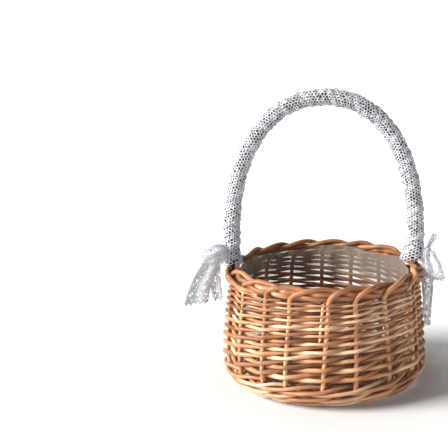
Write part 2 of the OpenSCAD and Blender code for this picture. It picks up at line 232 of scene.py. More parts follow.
def tube(solid, path, high, wide, seed, tone, sides=ROD_SIDES, up=None, knots=True, close=False, slant=0.5,
         half=None):
    """Adds a rod along path to solid. high and wide are half sizes at evenly spread places along it.

    half keeps only the upper (1) or lower (-1) half of the section, as in a split stick.
    """
    rng = np.random.default_rng(seed)
    tangent, normal, across = frames(path, up)
    n = len(path)
    step = np.concatenate([[0], np.cumsum(np.linalg.norm(np.diff(path, axis=0), axis=1))])
    t = step / step[-1]
    high = np.interp(t, np.linspace(0, 1, len(high)), high)
    wide = np.interp(t, np.linspace(0, 1, len(wide)), wide)
    if half is None:
        angle = np.linspace(0, 2 * math.pi, sides, endpoint=False)
    else:
        angle = np.linspace(-math.pi / 2, math.pi / 2, sides) + (0 if half > 0 else math.pi)
    swell = np.ones((n, sides)) + 0.035 * hash_wave(seed + 1, 5, 0.02, 0.12)(step)[:, None]
    swell += 0.02 * np.sin(2 * angle[None] + 3 * hash_wave(seed + 2, 3, 0.01, 0.03)(step)[:, None])
    knot = np.zeros((n, sides))
    if knots:
        at = rng.uniform(8, 45)
        while at < step[-1] - 5:
            side = rng.uniform(0, 2 * math.pi)
            bump = np.exp(-(((step - at) / rng.uniform(1.2, 2.2)) ** 2))[:, None]
            swell += bump * rng.uniform(0.03, 0.09) * (0.6 + 0.4 * np.cos(angle[None] - side))
            knot += bump * np.clip(np.cos(angle[None] - side) * 1.3, 0, 1) * rng.uniform(0.4, 1)
            at += rng.uniform(28, 75)
    ring_n = np.cos(angle)[None] * high[:, None] * swell
    ring_b = np.sin(angle)[None] * wide[:, None] * swell
    points = path[:, None] + ring_n[..., None] * normal[:, None] + ring_b[..., None] * across[:, None]
    if not close and slant:
        lean = np.cos(angle + rng.uniform(0, 6))[:, None] * slant
        points[0] += lean * tangent[0] * high[0]
        points[-1] += lean * tangent[-1] * high[-1]
    grain = np.stack([
        np.broadcast_to(step[:, None] + 977.0 * (seed % 89), (n, sides)),
        np.broadcast_to(np.cos(angle) * high.mean(), (n, sides)),
        np.broadcast_to(np.sin(angle) * wide.mean(), (n, sides)),
    ], -1)
    shade = tone + 0.16 * hash_wave(seed + 3, 4, 0.002, 0.012)(step)
    shade = np.broadcast_to(shade[:, None], (n, sides))
    finish = np.stack([shade, np.clip(knot, 0, 1), np.zeros((n, sides))], -1)
    faces = []
    last = n if close else n - 1
    for i in range(last):
        a, b = i * sides, ((i + 1) % n) * sides
        for j in range(sides):
            k = (j + 1) % sides
            faces.append((a + j, a + k, b + k, b + j))
    points, grain, finish = points.reshape(-1, 3), grain.reshape(-1, 3), finish.reshape(-1, 3)
    rim = np.zeros(len(points), int)
    if half is not None:
        for i in range(n):
            rim[[i * sides, i * sides + sides - 1]] = 1
    if not close:
        middle = len(points)
        points = np.vstack([points, path[0], path[-1]])
        grain = np.vstack([grain, grain[0], grain[-1]])
        finish = np.vstack([finish, [tone, 0, 1], [tone, 0, 1]])
        rim = np.concatenate([rim, [0, 0]])
        rim[:sides], rim[middle - sides:middle] = 2, 3
        faces += [(middle, (j + 1) % sides, j) for j in range(sides)]
        faces += [(middle + 1, middle - sides + j, middle - sides + (j + 1) % sides) for j in range(sides)]
    solid.add(points, faces, grain, finish, rim)


# ---------------------------------------------------------------- materials
class Shader:
    """A material's node tree, with short calls for the nodes that the materials share."""

    def __init__(self, name):
        self.material = bpy.data.materials.new(name)
        self.material.use_nodes = True
        self.tree = self.material.node_tree
        self.principled = self.tree.nodes["Principled BSDF"]

    def node(self, kind, settings=None, **inputs):
        made = self.tree.nodes.new(kind)
        for key, value in (settings or {}).items():
            setattr(made, key, value)
        for key, value in inputs.items():
            socket = made.inputs[int(key[1:])] if key[0] == "i" and key[1:].isdigit() else made.inputs[key]
            self.set(socket, value)
        return made

    def set(self, socket, value):
        if isinstance(value, bpy.types.NodeSocket):
            self.tree.links.new(value, socket)
        else:
            socket.default_value = value

    def finish_with(self, **inputs):
        for key, value in inputs.items():
            self.set(self.principled.inputs[key.replace("_", " ")], value)
        return self.material

    def attribute(self, name):
        return self.node("ShaderNodeAttribute", {"attribute_name": name})

    def stretch(self, vector, scale):
        return self.node("ShaderNodeVectorMath", {"operation": "MULTIPLY"}, i0=vector, i1=scale).outputs[0]

    def noise(self, vector, scale, detail=4.0, rough=0.55):
        made = self.node("ShaderNodeTexNoise", Vector=vector, Scale=scale, Detail=detail, Roughness=rough)
        return made.outputs[0]

    def ramp(self, value, *stops):
        made = self.node("ShaderNodeValToRGB", Fac=value)
        points = made.color_ramp.elements
        for i, (place, colour) in enumerate(stops):
            point = points[i] if i < 2 else points.new(place)
            point.position = place
            point.color = colour if len(colour) == 4 else (*colour, 1)
        return made.outputs[0]

    def math(self, operation, a, b=0.0, clamp=False):
        made = self.node("ShaderNodeMath", {"operation": operation, "use_clamp": clamp}, i0=a, i1=b)
        return made.outputs[0]

    def between(self, value, low, high, at_low=0.0, at_high=1.0):
        """A value that goes from at_low to at_high while value goes from low to high."""
        limits = {"From Min": low, "From Max": high, "To Min": at_low, "To Max": at_high}
        return self.node("ShaderNodeMapRange", Value=value, **limits).outputs[0]

    def mix(self, share, a, b, blend="MIX"):
        made = self.node("ShaderNodeMix", {"data_type": "RGBA", "blend_type": blend})
        self.set(made.inputs[0], share)
        self.set(made.inputs[6], a if isinstance(a, bpy.types.NodeSocket) else (*a, 1))
        self.set(made.inputs[7], b if isinstance(b, bpy.types.NodeSocket) else (*b, 1))
        return made.outputs[2]

    def bump(self, height, strength, distance):
        return self.node("ShaderNodeBump", Height=height, Strength=strength, Distance=distance).outputs[0]


def srgb(r, g, b):
    """A colour given as it looks on screen, 0 to 255."""
    return tuple(((c / 255 + 0.055) / 1.055) ** 2.4 if c > 10 else c / 255 / 12.92 for c in (r, g, b))


def willow(name, pale, mid, deep, gloss=0.42):
    """Peeled willow: a tone per rod, long grain streaks, darker bud scars and pale cut ends."""
    s = Shader(name)
    finish = s.node("ShaderNodeSeparateXYZ", Vector=s.attribute("finish").outputs["Vector"])
    grain = s.attribute("grain").outputs["Vector"]
    streak = s.noise(s.stretch(grain, (0.035, 1.6, 1.6)), 1.0, 5.0, 0.6)
    fibre = s.noise(s.stretch(grain, (0.16, 5.0, 5.0)), 1.0, 3.0, 0.6)
    blotch = s.noise(s.stretch(grain, (0.06, 0.35, 0.35)), 1.0, 2.0, 0.5)
    tone = s.math("ADD", finish.outputs[0], s.math("MULTIPLY", s.math("SUBTRACT", streak, 0.5), 0.55))
    tone = s.math("ADD", tone, s.math("MULTIPLY", s.math("SUBTRACT", blotch, 0.5), 0.5))
    colour = s.ramp(tone, (0.0, pale), (1.0, deep), (0.45, mid))
    thin = s.ramp(fibre, (0.36, (0.62, 0.5, 0.4)), (0.6, (1, 1, 1)))
    colour = s.mix(0.5, colour, thin, "MULTIPLY")
    colour = s.mix(s.math("MULTIPLY", finish.outputs[1], 0.55), colour, tuple(c * 0.42 for c in deep))
    colour = s.mix(s.math("MULTIPLY", finish.outputs[2], 0.7), colour, pale)
    rough = s.math("ADD", s.math("MULTIPLY", fibre, 0.25), gloss - 0.1)
    height = s.math("ADD", fibre, s.math("MULTIPLY", streak, 0.6))
    return s.finish_with(Base_Color=colour, Roughness=rough, Normal=s.bump(height, 0.35, 0.0002),
                         Specular_IOR_Level=0.45)


WILLOW_PALE, WILLOW_MID, WILLOW_DEEP = srgb(233, 200, 164), srgb(188, 130, 88), srgb(98, 53, 29)
stake_willow = willow("stake_willow", WILLOW_PALE, WILLOW_MID, WILLOW_DEEP)
weaver_willow = willow("weaver_willow", WILLOW_PALE, WILLOW_MID, WILLOW_DEEP)
wale_willow = willow("wale_willow", WILLOW_PALE, srgb(188, 131, 92), srgb(112, 64, 39))
base_willow = willow("base_willow", WILLOW_PALE, srgb(190, 138, 96), srgb(120, 70, 42), 0.5)
# The handle core's willow is painted dark as painted shade under the lace wrap, so that the holes of the lace
# look dark.
handle_willow = willow("handle_willow", srgb(140, 100, 72), srgb(66, 44, 32), srgb(30, 20, 15), 0.5)


def cotton():
    """White cotton lace: a fine twisted thread over the net, painted shade in the grooves of the thread, and
    a slightly greyer tone here and there.
    """
    s = Shader("white_lace")
    place = s.attribute("grain").outputs["Vector"]
    twist_and_shade = s.noise(s.stretch(place, (2.6, 2.6, 2.6)), 1.0, 2.0, 0.6)
    soil = s.noise(s.stretch(place, (0.05, 0.05, 0.05)), 1.0, 2.0, 0.5)
    colour = s.mix(soil, srgb(219, 222, 229), srgb(208, 210, 216))
    # painted shade: greyer where the fine thread noise is high, in the grooves of the thread
    colour = s.mix(s.math("MULTIPLY", twist_and_shade, 0.4), colour, srgb(132, 135, 146))
    return s.finish_with(Base_Color=colour, Roughness=0.85, Specular_IOR_Level=0.25,
                         Normal=s.bump(twist_and_shade, 0.5, 0.0003))


def film():
    """Film that is clear low down and milkier near its top, at the two sides and along its creases."""
    s = Shader("liner_film")
    place = s.attribute("grain").outputs["Vector"]
    crease = s.noise(s.stretch(place, (0.055, 0.055, 0.03)), 1.0, 5.0, 0.6)
    sharp = s.math("ABSOLUTE", s.math("SUBTRACT", crease, 0.5))
    ridge = s.ramp(sharp, (0.0, (1, 1, 1)), (0.06, (0, 0, 0)))
    axes = s.node("ShaderNodeSeparateXYZ", Vector=place).outputs
    gathered = s.between(axes["Z"], 74.0, 100.0, 0.12, 0.8)
    doubled = s.between(s.math("ABSOLUTE", axes["X"]), 35.0, 75.0, 0.9, 1.15)
    alpha = s.math("ADD", s.math("MULTIPLY", ridge, 0.2), s.math("MULTIPLY", gathered, doubled))
    return s.finish_with(Base_Color=(*srgb(134, 120, 110), 1), Roughness=0.12, Alpha=alpha,
                         Normal=s.bump(crease, 0.9, 0.004), Specular_IOR_Level=0.6)


white_lace = cotton()
liner_film = film()

# ---------------------------------------------------------------- stakes and border
# Places along a rod that is laid into the border: stakes passed, out from the rim circle, up from its height
BORDER_BEND = [(0, 0.8, 1), (0.08, 2.3, 4.5), (0.3, 2.4, 8), (0.6, -0.8, 9.8), (0.9, -4, 9.4)]
BORDER_OUT = [(1.2, -4.6, 7.8), (1.5, -2.2, 6.2)]
BORDER_FRONT = [(1.75, -0.4, 5.6), (2, -2.4, 4.9), (2.4, 0.8, 3.4)]
BORDER_IN = [(2.7, 0.6, 1.9), (3, -3.2, 1.2), (3.3, -4.2, -0.2), (3.7, -4.8, -1), (4.15, -4.9, -1.2)]
FOOT_BEND = [(0, 0, 2), (0.12, 0, 6), (0.25, -2, 9), (0.45, -4.7, 9.8), (0.9, -4.6, 9)]
FOOT_OUT = [(1.15, -4.6, 8), (1.35, 0, 6.9), (1.55, 4.5, 5.8), (1.8, 4.6, 5)]
FOOT_FRONT = [(2.2, 4.7, 3.6), (2.6, 4.7, 2.2), (3, 4.6, 0.6)]
FOOT_IN = [(3.15, 4.3, 0), (3.35, 0, -0.8), (3.6, -4.6, -1.2), (4.15, -4.9, -1.2)]
BEFORE_TONGUE = (8, 17)
SPOKE_TURNS, SPOKE_SIDES = (6, -14, -4), (-1, 1, 1)
STAKE_IN_R, STAKE_TURN_R = 42, 60
STAKE_BESIDE = (STICK_D + STAKE_D) / 2 + 0.1
STAKE_HEIGHTS = (8, 9, 11, 14.5, 20, 28, 40, 56, 73, 90)
STAKE_HALF = np.array([2.1, 2.15, 2.15, 2.15, 2.15, 2.3, 2.5, 2.5, 2.4, 2.1])
BORDER_TONE = 0.3


def border_of(k):
    """The border path of stake k. The rods beside a handle tongue go round it."""
    beside = [(k + steps) % STAKES in BEFORE_TONGUE for steps in (-1, 0, 1, 2, 3)]
    bend = FOOT_BEND if beside[0] or beside[1] else BORDER_BEND
    out = FOOT_OUT if beside[2] else BORDER_OUT
    front = FOOT_FRONT if beside[2] or beside[3] else BORDER_FRONT
    inward = FOOT_IN if any(beside[2:]) else BORDER_IN
    return bend + out + front + inward


def stake(k):
    rng = np.random.default_rng(500 + k)
    side = SPOKE_SIDES[k % 3] * STAKE_BESIDE
    spoke = FIRST_STAKE_A + STEP_A * k + SPOKE_TURNS[k % 3]
    turns = [math.degrees(math.atan2(side, r)) for r in (STAKE_IN_R, STAKE_TURN_R)]
    foot = [
        polar(math.hypot(STAKE_IN_R, side), spoke + turns[0], BASE_Z),
        polar(math.hypot(STAKE_TURN_R, side), spoke + turns[1], BASE_Z),
        polar((STAKE_TURN_R + HEEL_R) / 2 + 1, (spoke + turns[1] + stake_a(k, 8)) / 2, BASE_Z),
    ]
    wall = [wall_point(stake_a(k, z), z) for z in STAKE_HEIGHTS]
    top = [
        polar(RIM_R + out + rng.uniform(-0.3, 0.3), stake_a(k + u, 100), RIM_Z + up + rng.uniform(-0.5, 0.5))
        for u, out, up in border_of(k)
    ]
    path = by_hand(smooth_path(foot + wall + top, 1.9))
    solid = Solid()
    tube(solid, path, STAKE_HALF, STAKE_HALF, 1000 + k, rng.uniform(0.12, 0.45))
    in_border = np.clip((path[:, 2] - RIM_Z + 4) / 6, 0, 1)
    in_border = np.repeat(np.maximum.accumulate(in_border), ROD_SIDES)
    solid.finish[-1][:len(in_border), 0] += BORDER_TONE * in_border
    name = f"stake_{k + 1:02d}"
    return solid.build("willow_" + name, stake_willow, "stake_willow", name)


# ---------------------------------------------------------------- wall weave
LAST_PASS, FIRST_PASS_Z, CLIMB, CLOSE_UP = 20, 32.9, 69.1, 1.37
BEND_SHARE, BEND_STEPS = 0.22, 10


def pass_z(s):
    t = s / LAST_PASS
    return FIRST_PASS_Z + CLIMB * (CLOSE_UP * t - (CLOSE_UP - 1) * t * t)


def weaver_d(s):
    return WEAVER_BUTT_D - (WEAVER_BUTT_D - WEAVER_TIP_D) * (s + 1) / (LAST_PASS + 1)


def weaver(k):
    """One rod of the French rand: in front of one stake, behind the next, and climbing to its tip.

    It runs straight from stake to stake and bends sharply round each one. Its tone carries painted shade on
    the half where it dives behind a stake and behind it, and painted light on the half where it comes out and
    in front of a stake.
    """
    rng = np.random.default_rng(740 + k)
    passes = np.arange(-1, LAST_PASS + 2)
    side = np.where(passes % 2 == 0, 1, -1)
    z = pass_z(passes) + rng.uniform(-0.35, 0.35, len(passes))
    off = side * ((STAKE_D + weaver_d(passes)) / 2 + 0.1) * rng.uniform(0.94, 1.08, len(passes))
    held = wall_point(stake_a(k + passes, z), z, off)
    s = np.arange(-1.0 - BEND_SHARE, LAST_PASS + 0.6 + BEND_SHARE, BEND_SHARE / BEND_STEPS)
    straight = np.stack([np.interp(s, passes, held[:, i]) for i in range(3)], 1)
    bend = np.hanning(2 * BEND_STEPS + 3)[1:-1]
    path = np.stack([np.convolve(straight[:, i], bend / bend.sum(), "valid") for i in range(3)], 1)
    path = evenly(by_hand(path), 2.0)
    s = np.linspace(-1, LAST_PASS + 0.6, len(path))
    swing = np.cos(math.pi * s)
    thick = weaver_d(s) * (1 + 0.05 * rng.uniform(-1, 1))
    high = thick / 2 + 0.3 - 0.35 * swing**2 - 0.1 * np.clip(swing, 0, 1)
    solid = Solid()
    tube(solid, path, high, thick / 2, 2000 + 7 * k, rng.uniform(0.05, 0.75), up=UPWARD)
    # painted light and shade: darker where the rod dives behind a stake and behind it, lighter where it comes
    # out and in front
    painted_light_and_shade = 0.2 * np.sin(math.pi * s) + 0.16 * np.clip(-swing, -0.3, 1)
    solid.finish[-1][:len(path) * ROD_SIDES, 0] += np.repeat(painted_light_and_shade, ROD_SIDES)
    name = f"weaver_{k + 1:02d}"
    return solid.build("willow_" + name, weaver_willow, "weaver_willow", name)


# ---------------------------------------------------------------- foot wale
WALE_WAVE = [(-4.2, 0), (0, -2.8), (4.4, -1.7), (5.4, 0), (4.6, 1.7), (0, 2.8)]
WALE_TURNS, WALE_FIRST_Z, WALE_CLIMB, WALE_POWER = 3, 8.6, 15, 1.45


def wale_rod(k):
    count = WALE_TURNS * STAKES * 2
    points = []
    for i in range(count + 1):
        off, up = WALE_WAVE[i % len(WALE_WAVE)]
        z = WALE_FIRST_Z + WALE_CLIMB * (i / count) ** WALE_POWER
        points.append(wall_point(stake_a(k + i / 2, z), z, off, up))
    path = by_hand(smooth_path(points, 2.2))
    half = [WALE_D / 2 + 0.2, WALE_D / 2 + 0.1, WALE_D / 2]
    solid = Solid()
    tube(solid, path, half, half, 3000 + 11 * k, 0.2 + 0.17 * (k % 3))
    name = f"wale_rod_{k}"
    return solid.build("willow_" + name, wale_willow, "wale_willow", name)


# ---------------------------------------------------------------- base
SLATH_PITCH, SLATH_HALF, SPREAD_R, STICK_END_R = STICK_D + 0.3, 10.5, 26, 70.5
PARED_H, SLIT_OPEN_H, PARED_HALF = 3.2, 8.8, 9.15


def turned(points, a):
    a = math.radians(a)
    c, s = math.cos(a), math.sin(a)
    p = np.asarray(points, float)
    return np.stack([c * p[:, 0] - s * p[:, 1], s * p[:, 0] + c * p[:, 1], p[:, 2] + BASE_Z], 1)


def stick_line(i, middle):
    """Base stick i of three, from end to end: opened out to its spokes, and straight over its middle."""
    ends = [polar(STICK_END_R, i * SPOKE_STEP_A, 0), polar(SPREAD_R, i * SPOKE_STEP_A, 0)]
    mirror = [p * np.array([-1, 1, 1]) for p in ends]
    return mirror + [np.array([x, i * SLATH_PITCH, 0.0]) for x in middle] + ends[::-1]


def pierced_base_sticks():
    solid, r = Solid(), STICK_D / 2
    for i in (-1, 0, 1):
        path = smooth_path(stick_line(i, (-SLATH_HALF, 0, SLATH_HALF)), 1.6)
        slit = np.clip(1 - (np.abs(path[:, 0]) / (SLATH_HALF + 2)) ** 4, 0, 1)
        for side in (1, -1):
            lifted = path + np.stack([0 * slit, 0 * slit, side * slit * (PARED_H / 2 + 0.05)], 1)
            high = r - slit * (r - (SLIT_OPEN_H - PARED_H) / 2 + 0.1)
            tube(solid, turned(lifted, SLATH_A), high, np.full(len(path), r), 4000 + 10 * i + side,
                 0.45 + 0.1 * i, sides=9, up=UPWARD, knots=False, slant=0, half=side)
    return solid.build("willow_pierced_sticks", base_willow, "base_willow", "pierced_base_sticks")


def through_base_sticks():
    solid, r = Solid(), STICK_D / 2
    for i in (-1, 0, 1):
        path = smooth_path(stick_line(i, (-PARED_HALF - 2, -PARED_HALF, PARED_HALF, PARED_HALF + 2)), 1.6)
        pared = 1 / (1 + np.exp((np.abs(path[:, 0]) - PARED_HALF - 1) * 2.2))
        high = r - pared * (r - PARED_H / 2)
        tube(solid, turned(path, SLATH_A + 90), high, np.full(len(path), r), 4150 + 10 * i, 0.5 + 0.15 * i,
             sides=12, up=UPWARD, slant=0)
    return solid.build("willow_through_sticks", base_willow, "base_willow", "through_base_sticks")


BASE_WEAVE_FIRST_R, BASE_WEAVE_PITCH, BASE_WEAVE_TURNS, HOLD = 17, 4.3, 5.5, 0.25


def base_weaver(k):
    throw = (STICK_D + BASE_WEAVER_D) / 2 + 0.15
    s = np.linspace(0, BASE_WEAVE_TURNS * SPOKES, int(BASE_WEAVE_TURNS * SPOKES * 12))
    swing = np.tanh(1.7 * np.cos(math.pi * (s + HOLD + k))) / math.tanh(1.7)
    r = BASE_WEAVE_FIRST_R + BASE_WEAVE_PITCH * (k + 2 * s / SPOKES)
    path = evenly(polar(r, SLATH_A + SPOKE_STEP_A * (s + HOLD), BASE_Z + swing * throw), 2.0)
    half = [BASE_WEAVER_D / 2 - 0.1, BASE_WEAVER_D / 2, BASE_WEAVER_D / 2 + 0.1]
    solid = Solid()
    tube(solid, path, half, half, 4200 + 13 * k, 0.35 + 0.25 * k, sides=8)
    name = f"base_weaver_{k + 1}"
    return solid.build("willow_" + name, base_willow, "base_willow", name)


FOOT_ROD_R, FOOT_ROD_D, FOOT_ROD_Z = 73.6, 4.8, 2.25


def foot_rod():
    path = polar(FOOT_ROD_R, np.linspace(0, 360, 230, endpoint=False), FOOT_ROD_Z)
    half = [FOOT_ROD_D / 2, FOOT_ROD_D / 2]
    solid = Solid()
    tube(solid, path, half, half, 4300, 0.4, sides=14, up=UPWARD, close=True, knots=False)
    solid.points[-1][:, 2] = np.maximum(solid.points[-1][:, 2], 0.0)
    return solid.build("willow_foot_rod", wale_willow, "wale_willow", "foot_rod")


BYE_STAKE_D, BYE_STAKE_A, BYE_STAKE_INDEX = 3.0, -3.6, 13


def bye_stake():
    points = [wall_point(stake_a(BYE_STAKE_INDEX, z) + BYE_STAKE_A, z) for z in (68, 80, 92, 103.4)]
    half = [BYE_STAKE_D / 2 - 0.3, BYE_STAKE_D / 2]
    solid = Solid()
    tube(solid, by_hand(smooth_path(points, 1.8)), half, half, 4400, 0.25)
    return solid.build("willow_bye_stake", stake_willow, "stake_willow", "bye_stake")


# ---------------------------------------------------------------- handle
HANDLE_FOOT_Z, ARCH_Z, ARCH_TOP_Z, ARCH_R, ARCH_POWER, ARCH_STEPS = 120.2, 145, 281.8, 90.2, 2.2, 28
CORE_R = 6.8
TONGUE_HEIGHTS = (56, 68, 82, 96, 106, 114)
MIRROR = np.array([-1.0, 1.0, 1.0])


def arch_point(i):
    a = math.pi * i / ARCH_STEPS
    across, up = math.cos(a), math.sin(a)
    return np.array([
        ARCH_R * math.copysign(abs(across) ** (2 / ARCH_POWER), across), 0.0,
        ARCH_Z + (ARCH_TOP_Z - ARCH_Z) * up ** (2 / ARCH_POWER),
    ])


def handle_line(foot, spacing):
    """The handle's centre line from the right foot over to the left one, starting with the points in foot."""
    arch = [arch_point(i) for i in range(1, ARCH_STEPS)]
    return smooth_path(foot + arch + [p * MIRROR for p in foot[::-1]], spacing)


def handle_core():
    tongue = [wall_point(0.0, min(z, RIM_Z)) + [0, 0, max(0, z - RIM_Z)] for z in TONGUE_HEIGHTS]
    leg = [np.array([RIM_R, 0, 118.4]), np.array([RIM_R, 0, HANDLE_FOOT_Z]), np.array([ARCH_R + 0.2, 0, 132])]
    path = handle_line(tongue + leg, 1.5)
    half = np.interp(path[:, 2], (56, 114, 118.4, HANDLE_FOOT_Z), (1.3, 2.0, 2.0, CORE_R))
    solid = Solid()
    tube(solid, path, half, half, 4500, 0.35, sides=16, up=np.array([0.0, 1.0, 0.0]))
    return solid.build("willow_handle_core", handle_willow, "handle_willow", "handle_core")


# ---------------------------------------------------------------- lace
LACE_T = 0.42
HOLE_SPREAD, LOOSE_NET, THREAD_RELIEF = 0.13, 0.1, 0.09
NUDGE = 0.05


def place_normal(place, u, v):
    """Normal of the surface that place(u, v) describes."""
    du = place(u + NUDGE, v) - place(u - NUDGE, v)
    dv = place(u, v + NUDGE) - place(u, v - NUDGE)
    return unit(np.cross(du, dv))


def lace(solid, length, width, cell, place, openness, keep=None):
    """Adds a lace strip to solid: a net of hexagonal meshes, each with a hole, laid out by place(u, v).

    u runs along the strip from 0 to length and v across it from -width / 2 to width / 2. openness(u, v) is
    the size of a mesh's hole, from 0 to 1, and keep(u, v) tells which meshes there are. The result is the
    flat area of the net without its holes.
    """
    pitch = cell * math.sqrt(3) / 2
    rows = int(width / pitch)
    r, c = np.meshgrid(np.arange(rows), np.arange(int(length / cell)), indexing="ij")
    r, c = r.ravel(), c.ravel()
    u = (c + 0.5 + 0.5 * (r % 2)) * cell
    v = (r + 0.5) * pitch - rows * pitch / 2
    if keep is not None:
        kept = keep(u, v)
        r, c, u, v = r[kept], c[kept], u[kept], v[kept]
    corner_u = np.array([0, -0.5, -0.5, 0, 0.5, 0.5]) * cell
    corner_v = np.array([1, 0.5, -0.5, -1, -0.5, 0.5]) * cell / math.sqrt(3)
    net_u, net_v = u[:, None] + corner_u, v[:, None] + corner_v
    rng = np.random.default_rng(len(u))
    key = np.stack([np.round(net_u / cell * 2), np.round(net_v / cell * 2 * math.sqrt(3))], -1).reshape(-1, 2)
    _, first, corner = np.unique(key.astype(int), axis=0, return_index=True, return_inverse=True)
    corner = corner.reshape(-1, 6)
    size = np.clip(openness(u, v) + rng.normal(0, HOLE_SPREAD, len(u)), 0.1, 0.84)
    tall = 1 + 0.18 * rng.normal(0, 1, len(u))
    loose = rng.normal(0, LOOSE_NET * cell, (2, len(first)))
    net_u, net_v = net_u.ravel()[first] + loose[0], net_v.ravel()[first] + loose[1]
    middle_u, middle_v = net_u[corner].mean(1)[:, None], net_v[corner].mean(1)[:, None]
    along, across = np.clip(size * tall, 0.1, 0.86), np.clip(size / tall, 0.1, 0.86)
    hole_u = middle_u + (net_u[corner] - middle_u) * along[:, None]
    hole_v = middle_v + (net_v[corner] - middle_v) * across[:, None]
    all_u = np.concatenate([net_u, hole_u.ravel()])
    all_v = np.concatenate([net_v, hole_v.ravel()])
    normal = place_normal(place, all_u, all_v)
    middle = place(all_u, all_v) + normal * rng.normal(0, THREAD_RELIEF, (len(all_u), 1))
    hole = len(first) + np.arange(len(u) * 6).reshape(-1, 6)
    after = (np.arange(6) + 1) % 6
    top = np.stack([corner, corner[:, after], hole[:, after], hole], -1).reshape(-1, 4)
    inner = np.stack([hole, hole[:, after]], -1).reshape(-1, 2)
    edge = np.stack([corner, corner[:, after]], -1).reshape(-1, 2)
    code = np.sort(edge, 1) @ np.array([len(all_u), 1])
    _, back, times = np.unique(code, return_inverse=True, return_counts=True)
    outer = edge[times[back] == 1]
    n = len(all_u)
    sides = [np.stack([e[:, 1], e[:, 0], e[:, 0] + n, e[:, 1] + n], 1) for e in (inner[:, ::-1], outer)]
    faces = np.concatenate([top, top[:, ::-1] + n] + sides)
    grain = np.stack([all_u, all_v, 0 * all_u], 1)
    finish = np.zeros((n, 3))
    solid.add(np.concatenate([middle + normal * LACE_T / 2, middle - normal * LACE_T / 2]), faces.tolist(),
              np.concatenate([grain, grain]), np.concatenate([finish, finish]))
    return cell * pitch * (1 - along * across).sum()


def motif(repeat, width, seed):
    """Openness of a lace that repeats diamonds along its length, with a row of eyelets beside each edge."""
    rough = hash_wave(seed, 6, 0.05, 0.35)

    def openness(u, v):
        diamond = np.abs((u / repeat) % 1 - 0.5) * 2 + np.abs(v) / (width * 0.42)
        ring = np.exp(-(((diamond - 0.55) / 0.22) ** 2))
        edge = np.exp(-(((np.abs(v) - width * 0.38) / 1.6) ** 2))
        solid_edge = np.clip((np.abs(v) - width * 0.44) / 2, 0, 1)
        return 0.6 + 0.22 * ring + 0.1 * edge - 0.35 * solid_edge + 0.22 * rough(u + 1.7 * v)

    return openness


WRAP_WIDTH, WRAP_PITCH, WRAP_CELL = 28.0, 25.0, 3.0
WRAP_INNER_R, WRAP_TILT, WRAP_MEAN_R = CORE_R + 0.55, 1.3, 7.9
WRAP_SLOPE = math.atan(WRAP_PITCH / (2 * math.pi * WRAP_MEAN_R))
LEFT_FLARE, RIGHT_FLARE, RIGHT_SHIFT = 3.4, 4.0, 3.0


def thread(solid, path, seed):
    tube(solid, smooth_path(path, 0.9), [0.28, 0.2], [0.28, 0.2], seed, 0, sides=5, knots=False, slant=0)


def lace_wrap():
    path = handle_line([np.array([RIM_R, 0, HANDLE_FOOT_Z - 0.6]), np.array([ARCH_R + 0.3, 0, 132])], 1.0)
    step = np.concatenate([[0], np.cumsum(np.linalg.norm(np.diff(path, axis=0), axis=1))])
    tangent, normal, across = frames(path, np.array([0.0, 1.0, 0.0]))
    total = step[-1]
    rng = np.random.default_rng(81)
    ripples = [(rng.uniform(0.25, 1.3), rng.integers(-5, 6), rng.uniform(0, 6.3)) for _ in range(9)]

    def along(values, h):
        return np.stack([np.interp(h, step, values[:, i]) for i in range(3)], -1)

    def height(u, v):
        return u * math.sin(WRAP_SLOPE) + v * math.cos(WRAP_SLOPE)

    def place(u, v):
        h = height(u, v)
        turn = (u * math.cos(WRAP_SLOPE) - v * math.sin(WRAP_SLOPE)) / WRAP_MEAN_R
        ripple = sum(np.sin(rate * h + times * turn + start) for rate, times, start in ripples) / 9
        r = WRAP_INNER_R + WRAP_TILT * (v / WRAP_WIDTH + 0.5) + 1.3 * ripple
        r += LEFT_FLARE * np.exp(-((total - h) / 7) ** 2) + RIGHT_FLARE * np.exp(-((h / 14) ** 2))
        n, b = along(normal, h), along(across, h)
        middle = along(path, h) - np.outer(RIGHT_SHIFT * np.exp(-((h / 16) ** 2)), [1, 0, 0])
        return middle + r[:, None] * (np.cos(turn)[:, None] * n + np.sin(turn)[:, None] * b)

    length = (total + 2 * WRAP_WIDTH) / math.sin(WRAP_SLOPE)
    shift = WRAP_WIDTH / math.sin(WRAP_SLOPE)
    solid = Solid()
    threads = lace(
        solid, length, WRAP_WIDTH, WRAP_CELL, lambda u, v: place(u - shift, v), motif(15, WRAP_WIDTH, 82),
        lambda u, v: (height(u - shift, v) > 1.5) & (height(u - shift, v) < total - 1.5),
    )
    for i in range(7):
        start = np.array([-88 + 1.6 * i, -8.5 + 0.5 * i, 122 + rng.uniform(-1, 1)])
        sag = np.array([rng.uniform(-1, 4), rng.uniform(-3, 0), -rng.uniform(4, 8)])
        curl = np.array([rng.uniform(0, 5), rng.uniform(-2, 1), -rng.uniform(0, 4)])
        thread(solid, [start, start + sag / 2 + [1, -1, 0], start + sag, start + sag + curl], 90 + i)
    wrap = solid.build("lace_handle_wrap", white_lace, "white_lace", "lace_wrap")
    return wrap


FOLD_DEPTH = 1.1
FOLD_TABLE_Q = np.linspace(0, 30, 300)
FOLD_TABLE = np.sqrt(1 + (FOLD_TABLE_Q[:, None] * np.cos(np.linspace(0, math.pi, 60))) ** 2).mean(1)


